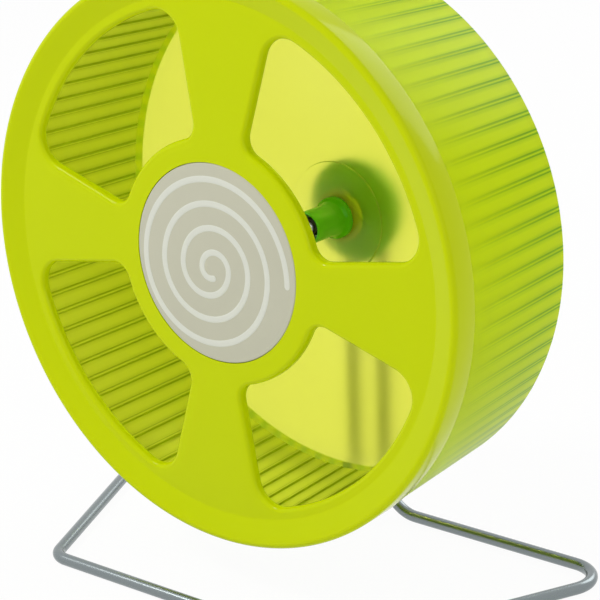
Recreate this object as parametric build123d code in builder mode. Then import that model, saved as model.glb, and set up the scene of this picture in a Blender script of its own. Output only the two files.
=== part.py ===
from build123d import *
import math
import os

# Rodent exercise wheel on a bent wire stand. Millimetres, +Z up, the front faces -Y.
# The origin is on the floor, in the middle of the space that the object covers.
# Depths are measured backwards along the axle, from the front face of the centre disc.

# Wheel
wheel_radius = 140.0
wheel_turn = 3.4          # how far the wheel stands turned from upright, clockwise, degrees
wheel_lift = 25.5         # free height under the wheel

# Front ring
ring_wall = 2.0
plate_dish = 1.2          # how far the spokes lean back by the time they meet the rim
rim_width = 14.0          # from the rim's edge in to where it starts to flare forward
crest_reach = 3.0         # how far the rim's crest stands in front of the disc
crest_round = 2.4
skirt_depth = 12.4
skirt_draft = 0.6         # how much smaller the skirt is at its rear edge
opening_inner_radius = 59.8
rim_land = 4.9            # from the start of the flare in to the openings
opening_half_angle = 31.4
opening_inner_corner = 8.5
opening_outer_corner = 13.0
opening_count = 4
lip_wall = 2.8
lip_round = 2.4
lip_depth = 5.6
lip_root_depth = 1.5      # where a lip's flange is rooted in the plate

# Centre disc and its inlay
disc_radius = 48.4
disc_thickness = 2.5
disc_edge_round = 0.6
disc_gap = 0.2
peg_radius = 2.5
peg_length = 1.4
peg_circle_radius = 36.0
peg_count = 4
spiral_first_radius = 43.45
spiral_step = 5.88        # how much tighter each half turn is
spiral_half_turns = 7
spiral_end_radius = 5.2
spiral_end_angle = 112.0
spiral_width = 3.1
spiral_level = -2.9       # height of the line on which the half turns meet
inlay_groove = 0.3
inlay_thickness = 0.4
inlay_gap = 0.02

# Drum
mouth_depth = 3.6
mouth_gap = 0.2           # clearance all round between the drum's mouth and the skirt
mouth_wall = 1.6
drum_step = 1.4           # how much smaller the drum is than the rim
drum_taper = 5.6          # how much smaller the drum is at its rear
drum_depth = 93.8
drum_wall = 2.0
drum_corner_round = 3.0
band_outer_depth = 88.0   # where the smooth band leaves the tread
band_width = 15.2         # from the drum's rear corner in to the foot of the band
band_hollow = 0.7         # how far the band is hollowed
boss_radius = 28.0
boss_step = 0.8
bar_count = 90
bar_phase = 2.8           # angle of the first bar from the wheel's own right side
bar_width = 1.8
bar_height = 0.9
bar_root = 0.4            # how deep a bar is rooted in the wall
bar_margin = 1.2          # smooth length between the skirt's rear edge and the bars

# Hub sleeve
hub_mouth_depth = 67.2
hub_radius = 8.2
hub_mouth_bore = 7.25
hub_collar_radius = 10.6
hub_collar_width = 4.4
hub_collar_round = 1.6
hub_collar_slope = 3.6     # length over which the tube swells into the collar
hub_spigot_radius = 8.9
hub_spigot_gap = 0.05
hub_tail = 3.1            # how far the sleeve reaches behind the back wall
hub_web_bore = 6.0        # bore between the two bearing seats
lock_ring_radius = 13.5
lock_ring_wall = 2.8
lock_ring_notches = 6
lock_ring_notch = 1.5

# Ball bearings, 5 x 14 x 5
bearing_bore = 2.5
bearing_radius = 7.0
bearing_width = 5.0
inner_ring_radius = 3.7
outer_ring_bore = 5.8
ball_circle_radius = 4.75
ball_radius = 1.2
ball_count = 7
race_gap = 0.05
cage_wall = 0.8
cage_rim = 0.35
cage_gap = 0.1
shield_wall = 0.3
shield_inset = 0.3
shield_gap = 0.15
seat_gap = 0.02
front_bearing_inset = 8.2  # from the sleeve's mouth
rear_bearing_inset = 0.5   # from the sleeve's rear end

# Axle
axle_radius = 2.48
axle_end_reach = 1.4      # length that shows past the nut
hex_flats = 8.0
bolt_head_height = 3.5
nut_height = 4.0
washer_radius = 3.6
washer_height = 1.0
spacer_radius = 3.6

# Stand
wire_radius = 3.0
post_spacing = 19.3
post_depth = 116.1
post_top = 14.0           # how far the posts reach above the axle, inside the head
foot_depth = 144.7
foot_rear_width = 304.1
foot_front_width = 179.4
post_bend = 24.0
rear_bend = 20.0
front_bend = 9.0

# Head that clamps the posts and carries the axle
head_front_depth = 98.8
head_nose_radius = 10.0
head_radius = 26.0
head_rim_depth = 104.6
head_rim_wall = 2.0
head_joint_radius = 22.5  # where the two halves meet
head_back_radius = 8.0    # flat middle of the cover
head_rear_reach = 7.2     # from the posts' middle to the back of the head
head_boss_radius = 3.6
post_groove_gap = 0.05
head_hole_gap = 0.1
hex_pocket_gap = 0.1
screw_circle_radius = 13.5
screw_radius = 1.4
screw_length = 11.0
screw_head_radius = 2.7
screw_head_height = 1.8
screw_head_seat = 3.0     # from the joint of the two halves
screw_gap = 0.1

# Places that follow from the sizes
axle_height = wheel_radius + wheel_lift
flare_radius = wheel_radius - rim_width
opening_outer_radius = flare_radius - rim_land
skirt_rear_radius = wheel_radius - skirt_draft
drum_front_radius = wheel_radius - drum_step
drum_rear_radius = drum_front_radius - drum_taper
band_inner_radius = drum_rear_radius - band_width
post_y = (foot_depth + wire_radius - head_rear_reach) / 2
front_y = post_y - post_depth
foot_front_y = post_y - foot_depth
turn = math.radians(wheel_turn)
wheel_right = (math.cos(turn), 0, -math.sin(turn))
axle = Axis((0, front_y, axle_height), (0, 1, 0))
# In this plane local x is depth and local y is radius.
profile_plane = Plane(origin=(0, front_y, axle_height), x_dir=(0, 1, 0), z_dir=(1, 0, 0))


def wheel_plane(depth):
    """The plane across the axle at a depth, facing the front and turned with the wheel."""
    return Plane(origin=(0, front_y + depth, axle_height), x_dir=wheel_right, z_dir=(0, -1, 0))


def stand_plane(depth):
    """The plane across the axle at a depth, facing the front and upright."""
    return Plane(origin=(0, front_y + depth, axle_height), x_dir=(1, 0, 0), z_dir=(0, -1, 0))


def turned(outline):
    """A body turned about the axle from its outline of (depth, radius) points."""
    with BuildPart() as body:
        with BuildSketch(profile_plane):
            with BuildLine():
                Polyline(*outline, close=True)
            make_face()
        revolve(axis=axle)
    return body


def tube(front, rear, bore, radius):
    """A plain tube about the axle."""
    return turned([(front, bore), (front, radius), (rear, radius), (rear, bore)])


def save(piece, label):
    """Label a finished piece and write its file."""
    piece.part.label = label
    export_step(piece.part, f"parts/{label}.step")


os.makedirs("parts", exist_ok=True)

# Opening in the front plate, drawn on the wheel's right
with BuildSketch() as opening:
    with BuildLine():
        far = CenterArc((0, 0), opening_outer_radius, -opening_half_angle, 2 * opening_half_angle)
        near = CenterArc((0, 0), opening_inner_radius, -opening_half_angle, 2 * opening_half_angle)
        Line(far @ 0, near @ 0)
        Line(far @ 1, near @ 1)
    make_face()
    fillet(opening.vertices().sort_by_distance((0, 0, 0))[:2], opening_inner_corner)
    fillet(opening.vertices().sort_by_distance((0, 0, 0))[-2:], opening_outer_corner)

with BuildSketch() as opening_lip:
    offset(opening.sketch, amount=lip_wall, kind=Kind.ARC)

# Front ring: dished plate, flared rim and a skirt, one moulding
recess_radius = disc_radius + disc_gap
plate_back = disc_thickness + ring_wall
crest_x = crest_round - crest_reach
flare_run = plate_dish - crest_x
flare_rise = wheel_radius - crest_round - flare_radius
flare_round = (flare_run**2 + flare_rise**2 - crest_round**2) / (2 * (flare_run + crest_round))
flare_x = plate_dish - flare_round
flare_span = flare_round + crest_round
flare_lean = (crest_x - flare_x) / flare_span
flare_climb = flare_rise / flare_span
skirt_bore = wheel_radius - ring_wall


def flare_end(radius):
    """Where a flare of this radius runs into the rounded crest."""
    return (flare_x + radius * flare_lean, flare_radius + radius * flare_climb)


with BuildPart() as front_ring:
    with BuildSketch(profile_plane):
        with BuildLine():
            spoke = Polyline(
                (plate_back, 0),
                (disc_thickness, 0),
                (disc_thickness, recess_radius),
                (0, recess_radius),
                (plate_dish, flare_radius),
            )
            flare = TangentArc(spoke @ 1, flare_end(flare_round), tangent=(0, 1))
            TangentArc(flare @ 1, (crest_x, wheel_radius), tangent=flare % 1)
            skirt = Polyline(
                (crest_x, wheel_radius),
                (skirt_depth, skirt_rear_radius),
                (skirt_depth, skirt_bore),
                (crest_x, skirt_bore),
            )
            inner_flare = TangentArc(
                (plate_dish + ring_wall, flare_radius),
                flare_end(flare_round + ring_wall),
                tangent=(0, 1),
            )
            TangentArc(inner_flare @ 1, skirt @ 1, tangent=inner_flare % 1)
            Polyline(
                inner_flare @ 0,
                (ring_wall, recess_radius + 2 * ring_wall),
                (plate_back, recess_radius + ring_wall),
                (plate_back, 0),
            )
        make_face()
    revolve(axis=axle)
    with BuildSketch(wheel_plane(lip_depth)):
        with PolarLocations(0, opening_count, start_angle=180 / opening_count):
            add(opening_lip.sketch)
    extrude(amount=lip_depth - lip_root_depth)
    with BuildSketch(wheel_plane(lip_depth)):
        with PolarLocations(0, opening_count, start_angle=180 / opening_count):
            add(opening.sketch)
    extrude(amount=lip_depth + crest_reach, mode=Mode.SUBTRACT)
    lips = front_ring.edges(Select.LAST).filter_by(
        lambda edge: edge.center().Y < front_y + plate_dish
    )
    fillet(lips, lip_round)
    with BuildSketch(wheel_plane(disc_thickness)):
        with PolarLocations(peg_circle_radius, peg_count, start_angle=180 / peg_count):
            Circle(peg_radius + disc_gap / 2)
    extrude(amount=-peg_length - disc_gap / 2, mode=Mode.SUBTRACT)
save(front_ring, "front_ring")

# Spiral of half turns whose ends meet on one level line
with BuildSketch() as ribbon:
    with BuildLine() as ribbon_line:
        end_x = spiral_first_radius
        side = 1
        for half_turn in range(spiral_half_turns):
            radius = spiral_first_radius - half_turn * spiral_step
            middle_x = end_x - side * radius
            CenterArc((middle_x, spiral_level), radius, 90 - side * 90, 180)
            end_x = middle_x - side * radius
            side = -side
        CenterArc(
            (end_x + spiral_end_radius, spiral_level), spiral_end_radius, 180, spiral_end_angle
        )
    trace(ribbon_line.edges(), spiral_width)
    with Locations(ribbon_line.wires()[0] @ 0, ribbon_line.wires()[0] @ 1):
        Circle(spiral_width / 2)

with BuildPart() as centre_disc:
    with BuildSketch(wheel_plane(disc_thickness)):
        Circle(disc_radius)
    extrude(amount=disc_thickness)
    fillet(centre_disc.edges().sort_by(Axis.Y)[0], disc_edge_round)
    with BuildSketch(wheel_plane(disc_thickness)):
        with PolarLocations(peg_circle_radius, peg_count, start_angle=180 / peg_count):
            Circle(peg_radius)
    extrude(amount=-peg_length)
    with BuildSketch(wheel_plane(inlay_groove)):
        add(ribbon.sketch)
    extrude(amount=2 * inlay_groove, mode=Mode.SUBTRACT)
save(centre_disc, "centre_disc")

with BuildPart() as spiral_inlay:
    with BuildSketch(wheel_plane(inlay_groove)):
        offset(ribbon.sketch, amount=-inlay_gap)
    extrude(amount=inlay_thickness)
save(spiral_inlay, "spiral_inlay")

# Drum: tapered wall, back wall with a smooth band in its corner, fine bars on the tread
mouth_radius = skirt_bore - mouth_gap
mouth_bore = mouth_radius - mouth_wall
wall_face = drum_depth - drum_wall
boss_face = wall_face - boss_step
drum_slope = (drum_front_radius - drum_rear_radius) / (drum_depth - skirt_depth)
tread_end = drum_front_radius - drum_slope * (band_outer_depth - skirt_depth) - drum_wall
tread_slope = (mouth_bore - tread_end) / (band_outer_depth - mouth_depth)
bar_front = skirt_depth + bar_margin
hub_hole = hub_spigot_radius + hub_spigot_gap


def tread_radius(depth):
    """Inner radius of the tread at a depth."""
    return mouth_bore - tread_slope * (depth - mouth_depth)


with BuildPart() as tread_bars:
    with BuildSketch(wheel_plane(band_outer_depth)):
        with PolarLocations(tread_end, bar_count, start_angle=bar_phase):
            Rectangle(20, bar_width)
    extrude(amount=band_outer_depth - bar_front)
    with BuildSketch(profile_plane):
        with BuildLine():
            Polyline(
                (bar_front, tread_radius(bar_front) - bar_height),
                (bar_front, tread_radius(bar_front) + bar_root),
                (band_outer_depth, tread_radius(band_outer_depth) + bar_root),
                (band_outer_depth, tread_radius(band_outer_depth) - bar_height),
                close=True,
            )
        make_face()
    revolve(axis=axle, mode=Mode.INTERSECT)

with BuildPart() as drum:
    with BuildSketch(profile_plane):
        with BuildLine():
            outside = Polyline(
                (wall_face, boss_radius),
                (boss_face, boss_radius),
                (boss_face, hub_hole),
                (drum_depth, hub_hole),
                (drum_depth, drum_rear_radius),
                (skirt_depth, drum_front_radius),
                (skirt_depth, mouth_radius),
                (mouth_depth, mouth_radius),
                (mouth_depth, mouth_bore),
                (band_outer_depth, tread_end),
            )
            SagittaArc(outside @ 1, (wall_face, band_inner_radius), band_hollow)
            Line((wall_face, band_inner_radius), outside @ 0)
        make_face()
    revolve(axis=axle)
    rear_rim = drum.edges().filter_by(GeomType.CIRCLE).group_by(Axis.Y)[-1]
    fillet(rear_rim.sort_by(SortBy.RADIUS)[-1], drum_corner_round)
    add(tread_bars.part)
save(drum, "drum")

# Hub sleeve: its collar rests on the boss and its rear end passes through the back wall
hub_end = drum_depth + hub_tail
collar_face = boss_face - hub_collar_width
front_bearing_face = hub_mouth_depth + front_bearing_inset
rear_bearing_face = hub_end - rear_bearing_inset - bearing_width
bearing_seat = bearing_radius + seat_gap
hub_sleeve = turned(
    [
        (hub_mouth_depth, hub_mouth_bore),
        (hub_mouth_depth, hub_radius),
        (collar_face - hub_collar_slope, hub_radius),
        (collar_face, hub_collar_radius - hub_collar_round),
        (collar_face + hub_collar_round, hub_collar_radius),
        (boss_face, hub_collar_radius),
        (boss_face, hub_spigot_radius),
        (hub_end, hub_spigot_radius),
        (hub_end, bearing_seat),
        (rear_bearing_face, bearing_seat),
        (rear_bearing_face, hub_web_bore),
        (front_bearing_face + bearing_width, hub_web_bore),
        (front_bearing_face + bearing_width, bearing_seat),
        (front_bearing_face, bearing_seat),
        (front_bearing_face, hub_mouth_bore),
    ]
)
save(hub_sleeve, "hub_sleeve")

with BuildPart() as hub_lock_ring:
    with BuildSketch(wheel_plane(drum_depth + lock_ring_wall)):
        Circle(lock_ring_radius)
        Circle(hub_spigot_radius + seat_gap, mode=Mode.SUBTRACT)
        with PolarLocations(lock_ring_radius, lock_ring_notches):
            Circle(lock_ring_notch, mode=Mode.SUBTRACT)
    extrude(amount=lock_ring_wall)
save(hub_lock_ring, "hub_lock_ring")


def bearing(end, front):
    """Write the five nodes of one ball bearing whose front face is at a depth."""
    middle = front + bearing_width / 2
    rear = front + bearing_width
    pocket = ball_radius + cage_gap
    cage_reach = pocket + cage_rim
    with BuildPart() as inner_ring:
        add(tube(front, rear, bearing_bore, inner_ring_radius).part)
        with BuildSketch(profile_plane):
            with Locations((middle, ball_circle_radius)):
                Circle(ball_radius + race_gap)
        revolve(axis=axle, mode=Mode.SUBTRACT)
    save(inner_ring, f"{end}_bearing_inner_ring")
    with BuildPart() as outer_ring:
        add(tube(front, rear, outer_ring_bore, bearing_radius).part)
        with BuildSketch(profile_plane):
            with Locations((middle, ball_circle_radius)):
                Circle(ball_radius + race_gap)
        revolve(axis=axle, mode=Mode.SUBTRACT)
    save(outer_ring, f"{end}_bearing_outer_ring")
    with BuildPart(wheel_plane(middle)) as cage:
        with BuildSketch(profile_plane):
            with Locations((middle, ball_circle_radius)):
                Rectangle(2 * cage_reach, cage_wall)
        revolve(axis=axle)
        with PolarLocations(ball_circle_radius, ball_count):
            Cylinder(pocket, 4 * cage_wall, rotation=(0, 90, 0), mode=Mode.SUBTRACT)
    save(cage, f"{end}_bearing_cage")
    with BuildPart(wheel_plane(middle)) as balls:
        with PolarLocations(ball_circle_radius, ball_count):
            Sphere(ball_radius)
    save(balls, f"{end}_bearing_balls")
    shield_front = front + shield_inset
    shield_rear = rear - shield_inset
    shield_bore = inner_ring_radius + shield_gap
    shield_radius = outer_ring_bore - seat_gap
    with BuildPart() as shields:
        add(tube(shield_front, shield_front + shield_wall, shield_bore, shield_radius).part)
        add(tube(shield_rear - shield_wall, shield_rear, shield_bore, shield_radius).part)
    save(shields, f"{end}_bearing_shields")


bearing("front", front_bearing_face)
bearing("rear", rear_bearing_face)

# Axle: a bolt whose head sits in the stand's head, and what it clamps
washer_face = front_bearing_face - washer_height
nut_face = washer_face - nut_height
bolt_end = nut_face - axle_end_reach
bolt_seat = post_depth - bolt_head_height
with BuildPart() as axle_bolt:
    with BuildSketch(stand_plane(post_depth)):
        RegularPolygon(hex_flats / 2, 6, major_radius=False)
    extrude(amount=bolt_head_height)
    with BuildSketch(stand_plane(bolt_seat)):
        Circle(axle_radius)
    extrude(amount=bolt_seat - bolt_end)
    chamfer(axle_bolt.edges().filter_by(GeomType.CIRCLE).sort_by(Axis.Y)[0], axle_radius / 5)
save(axle_bolt, "axle_bolt")

with BuildPart() as axle_nut:
    with BuildSketch(stand_plane(washer_face)):
        RegularPolygon(hex_flats / 2, 6, major_radius=False)
        Circle(axle_radius + seat_gap, mode=Mode.SUBTRACT)
    extrude(amount=nut_height)
save(axle_nut, "axle_nut")

nut_washer = tube(washer_face, front_bearing_face, axle_radius + seat_gap, washer_radius)
save(nut_washer, "nut_washer")

bearing_spacer = tube(
    front_bearing_face + bearing_width, rear_bearing_face, axle_radius + seat_gap, spacer_radius
)
save(bearing_spacer, "bearing_spacer")

# Stand: one round wire bent into two posts and a foot
post_x = post_spacing / 2
rear_x = foot_rear_width / 2
front_x = foot_front_width / 2
wire_corners = [
    (Vector(post_x, post_y, axle_height + post_top), 0),
    (Vector(post_x, post_y, wire_radius), post_bend),
    (Vector(rear_x, post_y, wire_radius), rear_bend),
    (Vector(front_x, foot_front_y, wire_radius), front_bend),
    (Vector(-front_x, foot_front_y, wire_radius), front_bend),
    (Vector(-rear_x, post_y, wire_radius), rear_bend),
    (Vector(-post_x, post_y, wire_radius), post_bend),
    (Vector(-post_x, post_y, axle_height + post_top), 0),
]
with BuildPart() as stand_wire:
    with BuildLine() as wire_path:
        last = wire_corners[0][0]
        for before, here, after in zip(wire_corners, wire_corners[1:], wire_corners[2:]):
            corner = here[0]
            back = (before[0] - corner).normalized()
            ahead = (after[0] - corner).normalized()
            half_angle = math.radians(back.get_angle(ahead) / 2)
            run = here[1] / math.tan(half_angle)
            inward = (back + ahead).normalized()
            middle = corner + inward * (here[1] / math.sin(half_angle) - here[1])
            Line(last, corner + back * run)
            ThreePointArc(corner + back * run, middle, corner + ahead * run)
            last = corner + ahead * run
        Line(last, wire_corners[-1][0])
    with BuildSketch(Plane(origin=wire_corners[0][0], z_dir=(0, 0, -1))):
        Circle(wire_radius)
    sweep()
save(stand_wire, "stand_wire")

# Channels in the head for the two posts, and the holes that both halves share
with BuildPart() as post_channels:
    with BuildSketch(Plane.XY.offset(axle_height - head_radius - wire_radius)):
        with Locations((-post_x, post_y), (post_x, post_y)):
            Circle(wire_radius + post_groove_gap)
    extrude(amount=head_radius + wire_radius + post_top + post_groove_gap)

# Front half of the head: a shallow bell with a nose towards the wheel
rear_ring_end = rear_bearing_face + bearing_width
with BuildPart() as head_front:
    with BuildSketch(profile_plane):
        with BuildLine():
            nose = Polyline(
                (post_depth, 0),
                (rear_ring_end, 0),
                (rear_ring_end, head_boss_radius),
                (head_front_depth, head_boss_radius),
                (head_front_depth, head_nose_radius),
            )
            SagittaArc(nose @ 1, (head_rim_depth, head_radius), -1.0)
            Line((head_rim_depth, head_radius), (head_rim_depth + head_rim_wall, head_radius))
            SagittaArc(
                (head_rim_depth + head_rim_wall, head_radius),
                (post_depth, head_joint_radius),
                1.0,
            )
            Line((post_depth, head_joint_radius), nose @ 0)
        make_face()
    revolve(axis=axle)
    add(post_channels.part, mode=Mode.SUBTRACT)
    with BuildSketch(stand_plane(post_depth)):
        RegularPolygon(hex_flats / 2 + hex_pocket_gap, 6, major_radius=False)
    extrude(amount=bolt_head_height, mode=Mode.SUBTRACT)
    with BuildSketch(stand_plane(bolt_seat)):
        Circle(axle_radius + seat_gap)
    extrude(amount=bolt_seat - rear_ring_end, mode=Mode.SUBTRACT)
    with BuildSketch(stand_plane(post_depth)):
        with PolarLocations(screw_circle_radius, 2, start_angle=90):
            Circle(screw_radius + seat_gap)
    extrude(amount=screw_length - screw_head_seat + screw_gap, mode=Mode.SUBTRACT)
save(head_front, "head_front")

# Rear half of the head: a low dome with counterbored screw holes
head_back = post_depth + head_rear_reach
with BuildPart() as head_cover:
    with BuildSketch(profile_plane):
        with BuildLine():
            joint = Line((post_depth, 0), (post_depth, head_joint_radius))
            SagittaArc(joint @ 1, (head_back, head_back_radius), 3.0)
            Polyline((head_back, head_back_radius), (head_back, 0), joint @ 0)
        make_face()
    revolve(axis=axle)
    add(post_channels.part, mode=Mode.SUBTRACT)
    with BuildSketch(stand_plane(post_depth)):
        with PolarLocations(screw_circle_radius, 2, start_angle=90):
            Circle(screw_radius + head_hole_gap)
    extrude(amount=-head_rear_reach, mode=Mode.SUBTRACT)
    with BuildSketch(stand_plane(post_depth + screw_head_seat)):
        with PolarLocations(screw_circle_radius, 2, start_angle=90):
            Circle(screw_head_radius + head_hole_gap)
    extrude(amount=-head_rear_reach, mode=Mode.SUBTRACT)
save(head_cover, "head_cover")

with BuildPart() as head_screws:
    with BuildSketch(stand_plane(post_depth + screw_head_seat)):
        with PolarLocations(screw_circle_radius, 2, start_angle=90):
            Circle(screw_head_radius)
    extrude(amount=-screw_head_height)
    with BuildSketch(stand_plane(post_depth + screw_head_seat)):
        with PolarLocations(screw_circle_radius, 2, start_angle=90):
            Circle(screw_radius)
    extrude(amount=screw_length)
save(head_screws, "head_screws")
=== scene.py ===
import math

import bmesh
import bpy
import numpy as np
from mathutils import Matrix


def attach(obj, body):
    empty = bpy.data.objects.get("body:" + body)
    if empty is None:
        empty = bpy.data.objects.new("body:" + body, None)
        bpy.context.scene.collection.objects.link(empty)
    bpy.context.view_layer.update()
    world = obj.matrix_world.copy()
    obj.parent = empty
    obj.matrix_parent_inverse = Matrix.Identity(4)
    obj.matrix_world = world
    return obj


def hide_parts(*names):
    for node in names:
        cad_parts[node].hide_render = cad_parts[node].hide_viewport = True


bl_info = {
    "name": "Rodent Exercise Wheel",
    "version": (1, 0, 0),
    "blender": (4, 5, 0),
    "location": "3D View > Sidebar > Wheel",
    "description": "Surfaces and materials for a rodent exercise wheel on a bent wire stand",
    "category": "Add Mesh",
}

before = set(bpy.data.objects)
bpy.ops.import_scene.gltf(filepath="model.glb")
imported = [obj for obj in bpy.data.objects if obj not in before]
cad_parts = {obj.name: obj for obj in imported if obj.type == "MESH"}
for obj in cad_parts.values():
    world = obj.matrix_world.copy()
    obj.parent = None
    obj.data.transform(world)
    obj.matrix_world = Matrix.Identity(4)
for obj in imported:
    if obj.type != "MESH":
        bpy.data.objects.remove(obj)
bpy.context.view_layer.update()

MM = 0.001
AXLE_Z = 165.5 * MM
FRONT_Y = -45.85 * MM  # the front face of the centre disc
POST_DEPTH = 116.1 * MM  # from that face back to the posts' middle lines
POST_PAST_AXLE = 14 * MM
FOOT_DEPTH = 144.7 * MM  # from the posts forward to the foot's front bar
TURN = math.radians(3.4)  # the wheel stands turned clockwise by this much
QUARTERS = 4
FIRST_BAR = math.radians(2.8)  # angle of the first tread bar in the wheel's own frame
DISC_GAP = 0.2 * MM  # clearance all round between the disc and its recess


# Sizes and colours


def length(label, about, default):
    """A length property in metres."""
    return bpy.props.FloatProperty(
        name=label, description=about, default=default, unit="LENGTH", subtype="DISTANCE"
    )


def hex_rgb(text):
    """sRGB hex to linear red, green and blue: the sRGB curve taken off each channel."""
    value = np.array([int(text[i : i + 2], 16) for i in (1, 3, 5)]) / 255
    linear = np.where(value <= 0.04045, value / 12.92, ((value + 0.055) / 1.055) ** 2.4)
    return tuple(float(v) for v in linear)


def colour(label, about, default):
    """A colour property, given as sRGB hex."""
    return bpy.props.FloatVectorProperty(
        name=label, description=about, default=hex_rgb(default), subtype="COLOR", size=3
    )


class WheelSizes(bpy.types.PropertyGroup):
    """Sizes of the wheel and its stand."""

    rim_radius: length("Rim radius", "Outer radius of the front ring", 140 * MM)
    ring_wall: length("Ring wall", "Wall of the front ring", 2.0 * MM)
    flare_radius: length("Flare radius", "Where the rim starts to flare forward", 126 * MM)
    dish: length("Dish", "How far the spokes lean back at the rim", 1.2 * MM)
    crest_reach: length("Crest reach", "How far the crest stands forward", 3.0 * MM)
    crest_round: length("Crest round", "Radius of the rim's crest", 2.4 * MM)
    skirt_depth: length("Skirt depth", "Rear edge of the skirt", 12.4 * MM)
    opening_inner: length("Opening inner radius", "Inner arc of an opening", 59.8 * MM)
    opening_outer: length("Opening outer radius", "Outer arc of an opening", 121.1 * MM)
    opening_half: bpy.props.FloatProperty(
        name="Opening half angle",
        description="Angle from an opening's middle to its side",
        default=math.radians(31.4),
        subtype="ANGLE",
    )
    inner_corner: length("Inner corner", "Radius of an opening's inner corners", 8.5 * MM)
    outer_corner: length("Outer corner", "Radius of an opening's outer corners", 13.0 * MM)
    lip_round: length("Lip round", "Radius of the rolled lip", 2.4 * MM)
    lip_wall: length("Lip wall", "Thickness of the lip's flange", 2.8 * MM)
    lip_depth: length("Lip depth", "Rear edge of the lip's flange", 5.6 * MM)
    disc_radius: length("Disc radius", "Radius of the centre disc", 48.4 * MM)
    disc_thickness: length("Disc thickness", "Thickness of the centre disc", 2.5 * MM)
    ribbon_width: length("Ribbon width", "Width of the spiral ribbon", 3.1 * MM)
    drum_depth: length("Drum depth", "Rear face of the back wall", 93.8 * MM)
    drum_wall: length("Drum wall", "Wall of the drum", 2.0 * MM)
    bar_count: bpy.props.IntProperty(
        name="Tread bars", description="Bars moulded round the tread", default=90
    )
    bar_width: length("Bar width", "Width of a tread bar", 1.8 * MM)
    bar_height: length("Bar height", "Height of a tread bar", 0.9 * MM)
    wire_radius: length("Wire radius", "Radius of the stand's wire", 3.0 * MM)


class WheelColours(bpy.types.PropertyGroup):
    """Colours of the wheel and its stand."""

    ring: colour("Ring", "Opaque lime of the front ring", "#C7D700")
    drum: colour("Drum", "Lime of the drum's tapered wall", "#D6EE00")
    # Painted light: the wall's own lime made paler on the inside, standing in for light coming
    # through the wall.
    tread: colour("Tread", "Lit-through lime inside the tapered wall", "#FAFC60")
    # Painted shade: a darker olive painted on the flanks of the tread's bars.
    tread_flank_shade: colour("Bar flank shade", "Olive of the bars' flanks on the tread", "#A9B800")
    # Painted shade: greener lines painted on the drum's outside where the bars' flanks show
    # through the wall.
    bar_shade_line: colour("Bar shade line", "Green of the bars showing through the wall", "#4FA800")
    back_wall: colour("Back wall", "Bright lime of the drum's back wall", "#F8FB60")
    disc: colour("Disc", "Warm grey of the centre disc", "#C3C2AD")
    ribbon: colour("Ribbon", "Pale ribbon of the spiral", "#DADCD0")
    green: colour("Green", "Dark green of the hub and the head", "#58BC00")
    wire: colour("Wire", "Grey coating of the wire", "#848C8E")
    floor: colour("Floor", "Pale floor", "#F4F4F3")


# Surfaces


def grid_quads(rows, columns, closed_rows=False, closed_columns=False):
    """Quads of a grid numbered row by row; a closed direction joins its last line to its first."""
    r = np.arange(rows if closed_rows else rows - 1)
    c = np.arange(columns if closed_columns else columns - 1)
    a, b = np.meshgrid(r, c, indexing="ij")
    a, b = a.ravel(), b.ravel()
    a2, b2 = (a + 1) % rows, (b + 1) % columns
    return np.stack(
        [a * columns + b, a2 * columns + b, a2 * columns + b2, a * columns + b2], axis=1
    )


def lay_mesh(name, parts, sharp=38):
    """One object from (points, quads) pairs, welded, with its faces turned outwards and
    its edges kept sharp above an angle in degrees."""
    points = np.concatenate([p for p, _ in parts])
    starts = np.cumsum([0] + [len(p) for p, _ in parts[:-1]])
    quads = np.concatenate([q + s for (_, q), s in zip(parts, starts)])
    mesh = bpy.data.meshes.new(name)
    mesh.from_pydata(points.tolist(), [], quads.tolist())
    shape = bmesh.new()
    shape.from_mesh(mesh)
    bmesh.ops.remove_doubles(shape, verts=shape.verts, dist=2e-6)
    bmesh.ops.dissolve_degenerate(shape, edges=shape.edges, dist=1e-7)
    bmesh.ops.recalc_face_normals(shape, faces=shape.faces)
    shape.to_mesh(mesh)
    shape.free()
    mesh.shade_smooth()
    mesh.set_sharp_from_angle(angle=math.radians(sharp))
    piece = bpy.data.objects.new(name, mesh)
    bpy.context.scene.collection.objects.link(piece)
    return piece


def wheel_point(depth, across, up):
    """A point of the wheel: across and up are turned about the axle by the wheel's turn."""
    depth, across, up = np.broadcast_arrays(depth, across, up)
    x = across * math.cos(TURN) + up * math.sin(TURN)
    z = up * math.cos(TURN) - across * math.sin(TURN)
    return np.stack([x, FRONT_Y + depth, AXLE_Z + z], axis=-1)


def mm(*values):
    """Millimetres as metres: numbers, or (depth, radius) pairs, as one array."""
    return np.array(values, float) * MM


def arc(centre, radius, start, end, steps):
    """Points on a circle's arc, angles in degrees, both ends included."""
    turn = np.radians(np.linspace(start, end, steps))
    return np.stack(
        [centre[0] + radius * np.cos(turn), centre[1] + radius * np.sin(turn)], axis=1
    )


def rounded(points, radii, steps=5):
    """A closed outline whose corners are turned into arcs: each corner is cut back by
    radius / tan(half its angle) along both sides and bridged by the arc between."""
    corners = np.asarray(points, float)
    outline = []
    for i, radius in enumerate(radii):
        here = corners[i]
        if radius == 0:
            outline.append(here[None])
            continue
        back = corners[i - 1] - here
        ahead = corners[(i + 1) % len(corners)] - here
        back /= np.linalg.norm(back)
        ahead /= np.linalg.norm(ahead)
        half = math.acos(np.clip(back @ ahead, -1, 1)) / 2
        middle = back + ahead
        centre = here + middle / np.linalg.norm(middle) * radius / math.sin(half)
        first = here + back * radius / math.tan(half) - centre
        last = here + ahead * radius / math.tan(half) - centre
        share = np.linspace(0, 1, steps)[:, None]
        bridge = first * (1 - share) + last * share
        bridge *= radius / np.linalg.norm(bridge, axis=1, keepdims=True)
        outline.append(centre + bridge)
    return np.concatenate(outline)


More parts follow.
